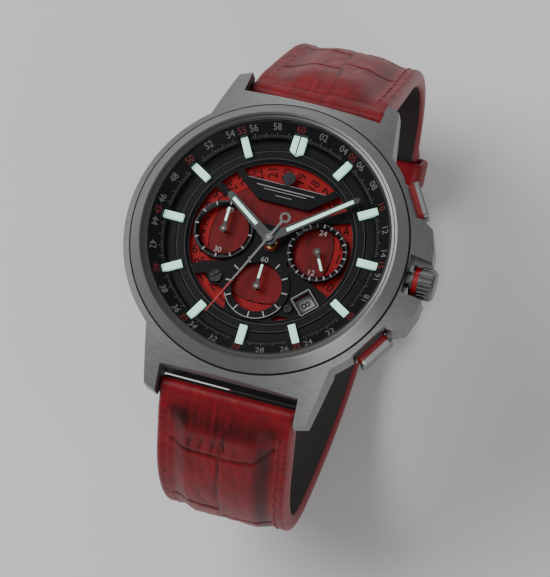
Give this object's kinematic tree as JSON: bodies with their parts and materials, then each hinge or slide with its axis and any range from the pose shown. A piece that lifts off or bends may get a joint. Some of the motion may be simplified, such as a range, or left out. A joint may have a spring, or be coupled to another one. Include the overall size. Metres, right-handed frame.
{
  "type": "chronograph wristwatch",
  "caption": "Wristwatch with a round metal case, crown and stopwatch pushers, open-worked dial with three sub-dials and a date, and a buckled leather strap.",
  "frame": {"origin": "centre of the case back's outer face, on the axis of the hands", "axes": "+Z out of the crystal, +Y towards 12 o'clock, +X towards 3 o'clock and the crown"},
  "size_m": [0.0486, 0.0822, 0.0669],
  "materials": {
    "black_dial": "matte black",
    "brass_plate": "machined",
    "calendar_red": "dark red lacquer",
    "circuit_green": "lacquered board",
    "copper_coil": "enamelled wire",
    "crystal": "polished",
    "date_red": "red enamel",
    "gasket": "matt",
    "hand_metal": "polished",
    "lume": "luminous paint",
    "nickel_plate": "nickel plated",
    "plastic_white": "moulded",
    "steel": "turned",
    "strap_leather": "embossed",
    "titanium_brushed": "brushed",
    "titanium_polished": "polished"
  },
  "bodies": {
    "case": {"mid_case": "titanium_brushed", "bezel": "titanium_brushed", "crystal": "crystal", "crystal_gasket": "gasket", "caseback": "titanium_brushed", "caseback_gasket": "gasket", "movement_holder": "plastic_white", "chapter_ring": "black_dial", "crown_tube": "steel", "pusher_tubes": "steel", "spring_bars": "steel", "dial_plate": "black_dial", "dial_ring": "black_dial", "subdial_rings": "hand_metal", "hour_indices": "lume", "date_frame": "hand_metal", "nameplate": "black_dial", "dial_studs": "hand_metal", "main_plate": "nickel_plate", "train_bridge": "nickel_plate", "battery": "steel", "circuit_board": "circuit_green", "coils": "copper_coil", "stators": "steel", "movement_screws": "steel", "calendar_plate": "calendar_red"},
    "time_rotor": {"rotor_time": "brass_plate"},
    "fifth": {"fifth_wheel": "brass_plate"},
    "seconds": {"fourth_wheel": "brass_plate", "small_seconds_hand": "hand_metal"},
    "third": {"third_wheel": "brass_plate"},
    "centre": {"centre_wheel": "brass_plate", "minute_hand": "hand_metal"},
    "minute_works": {"minute_wheel": "brass_plate"},
    "hour": {"hour_wheel": "brass_plate", "hour_hand": "hand_metal"},
    "idler_24h": {"day_idler": "brass_plate"},
    "day": {"day_wheel": "brass_plate", "day_hand": "hand_metal"},
    "chrono_rotor": {"rotor_chrono": "brass_plate"},
    "chrono_idle": {"chrono_idler": "brass_plate"},
    "chrono": {"chrono_wheel": "brass_plate", "seconds_hand": "hand_metal"},
    "counter_idle": {"counter_idler": "brass_plate"},
    "counter": {"counter_wheel": "brass_plate", "counter_hand": "hand_metal"},
    "calendar": {"date_ring": "date_red"},
    "clutch": {"clutch_wheel": "steel"},
    "crown": {"crown": "titanium_brushed", "stem": "steel"},
    "pusher_top": {"pusher_upper": "titanium_polished"},
    "pusher_bottom": {"pusher_lower": "titanium_polished"},
    "strap_12": {"strap_upper": "strap_leather", "fixed_keeper": "strap_leather", "buckle_bar": "steel"},
    "strap_6": {"strap_lower": "strap_leather"},
    "keeper": {"free_keeper": "strap_leather"},
    "buckle": {"buckle_frame": "titanium_brushed"},
    "tongue": {"buckle_tongue": "titanium_polished"}
  },
  "joints": [
    {"name": "minute_hand_spin", "type": "hinge", "parent": "case", "child": "centre", "pos_m": [0, 0, 0.004], "axis": [0, 0, 1], "continuous": true},
    {"name": "minute_works_spin", "type": "hinge", "parent": "case", "child": "minute_works", "pos_m": [0.00078, 0.0029, 0.004], "axis": [0, 0, 1], "continuous": true},
    {"name": "hour_hand_spin", "type": "hinge", "parent": "case", "child": "hour", "pos_m": [0, 0, 0.004], "axis": [0, 0, 1], "continuous": true},
    {"name": "idler_24h_spin", "type": "hinge", "parent": "case", "child": "idler_24h", "pos_m": [0.00315, -0.00247, 0.004], "axis": [0, 0, 1], "continuous": true},
    {"name": "hand_24h_spin", "type": "hinge", "parent": "case", "child": "day", "pos_m": [0.0075, 0, 0.004], "axis": [0, 0, 1], "continuous": true},
    {"name": "third_wheel_spin", "type": "hinge", "parent": "case", "child": "third", "pos_m": [0.00173, -0.0038, 0.004], "axis": [0, 0, 1], "continuous": true},
    {"name": "small_seconds_spin", "type": "hinge", "parent": "case", "child": "seconds", "pos_m": [0, -0.0075, 0.004], "axis": [0, 0, 1], "continuous": true},
    {"name": "fifth_wheel_spin", "type": "hinge", "parent": "case", "child": "fifth", "pos_m": [-0.00338, -0.00873, 0.004], "axis": [0, 0, 1], "continuous": true},
    {"name": "time_rotor_spin", "type": "hinge", "parent": "case", "child": "time_rotor", "pos_m": [-0.00654, -0.00758, 0.004], "axis": [0, 0, 1], "continuous": true},
    {"name": "chrono_hand_spin", "type": "hinge", "parent": "case", "child": "chrono", "pos_m": [0, 0, 0.004], "axis": [0, 0, 1], "continuous": true},
    {"name": "chrono_idler_spin", "type": "hinge", "parent": "case", "child": "chrono_idle", "pos_m": [0.00359, 0.00031, 0.004], "axis": [0, 0, 1], "continuous": true},
    {"name": "chrono_rotor_spin", "type": "hinge", "parent": "case", "child": "chrono_rotor", "pos_m": [0.00575, -0.00226, 0.004], "axis": [0, 0, 1], "continuous": true},
    {"name": "counter_idler_spin", "type": "hinge", "parent": "case", "child": "counter_idle", "pos_m": [-0.0037, 0.00173, 0.004], "axis": [0, 0, 1], "continuous": true},
    {"name": "counter_hand_spin", "type": "hinge", "parent": "case", "child": "counter", "pos_m": [-0.0075, 0, 0.004], "axis": [0, 0, 1], "continuous": true},
    {"name": "date_ring_spin", "type": "hinge", "parent": "case", "child": "calendar", "pos_m": [0, 0, 0.004], "axis": [0, 0, 1], "continuous": true},
    {"name": "crown_turn", "type": "hinge", "parent": "case", "child": "clutch", "pos_m": [0, 0, 0.0044], "axis": [1, 0, 0], "continuous": true},
    {"name": "crown_pull", "type": "slide", "parent": "clutch", "child": "crown", "axis": [1, 0, 0], "range_m": [0, 0.0013]},
    {"name": "pusher_top_press", "type": "slide", "parent": "case", "child": "pusher_top", "axis": [-0.8526, -0.5225, 0], "range_m": [0, 0.0008], "stiffness_N_per_m": 2000, "springref_m": -0.0005},
    {"name": "pusher_bottom_press", "type": "slide", "parent": "case", "child": "pusher_bottom", "axis": [-0.8526, 0.5225, 0], "range_m": [0, 0.0008], "stiffness_N_per_m": 2000, "springref_m": -0.0005},
    {"name": "strap_12_swing", "type": "hinge", "parent": "case", "child": "strap_12", "pos_m": [0, 0.0246, 0.0016], "axis": [1, 0, 0], "range_deg": [-0.3, 0.3]},
    {"name": "strap_6_swing", "type": "hinge", "parent": "case", "child": "strap_6", "pos_m": [0, -0.0246, 0.0016], "axis": [1, 0, 0], "range_deg": [-0.3, 0.3]},
    {"name": "free_keeper_slide", "type": "hinge", "parent": "strap_12", "child": "keeper", "pos_m": [0, 0.0236, -0.03177], "axis": [1, 0, 0], "range_deg": [-11, 14]},
    {"name": "buckle_frame_swing", "type": "hinge", "parent": "strap_12", "child": "buckle", "pos_m": [0, 0.0176, -0.05126], "axis": [1, 0, 0], "range_deg": [0, 4]},
    {"name": "buckle_tongue_swing", "type": "hinge", "parent": "buckle", "child": "tongue", "pos_m": [0, 0.0176, -0.05126], "axis": [1, 0, 0], "range_deg": [0, 4]}
  ],
  "couplings": [
    {"joint": "minute_works_spin", "follows": "minute_hand_spin", "ratio": -0.33333},
    {"joint": "hour_hand_spin", "follows": "minute_hand_spin", "ratio": 0.083333},
    {"joint": "idler_24h_spin", "follows": "minute_hand_spin", "ratio": -0.027778},
    {"joint": "hand_24h_spin", "follows": "minute_hand_spin", "ratio": 0.041667},
    {"joint": "third_wheel_spin", "follows": "minute_hand_spin", "ratio": -8},
    {"joint": "small_seconds_spin", "follows": "minute_hand_spin", "ratio": 60},
    {"joint": "fifth_wheel_spin", "follows": "minute_hand_spin", "ratio": -300},
    {"joint": "time_rotor_spin", "follows": "minute_hand_spin", "ratio": 1800},
    {"joint": "chrono_idler_spin", "follows": "chrono_hand_spin", "ratio": -5},
    {"joint": "chrono_rotor_spin", "follows": "chrono_hand_spin", "ratio": 30},
    {"joint": "counter_idler_spin", "follows": "chrono_hand_spin", "ratio": -0.13333},
    {"joint": "counter_hand_spin", "follows": "chrono_hand_spin", "ratio": 0.016667},
    {"joint": "strap_6_swing", "follows": "strap_12_swing", "ratio": 1}
  ]
}
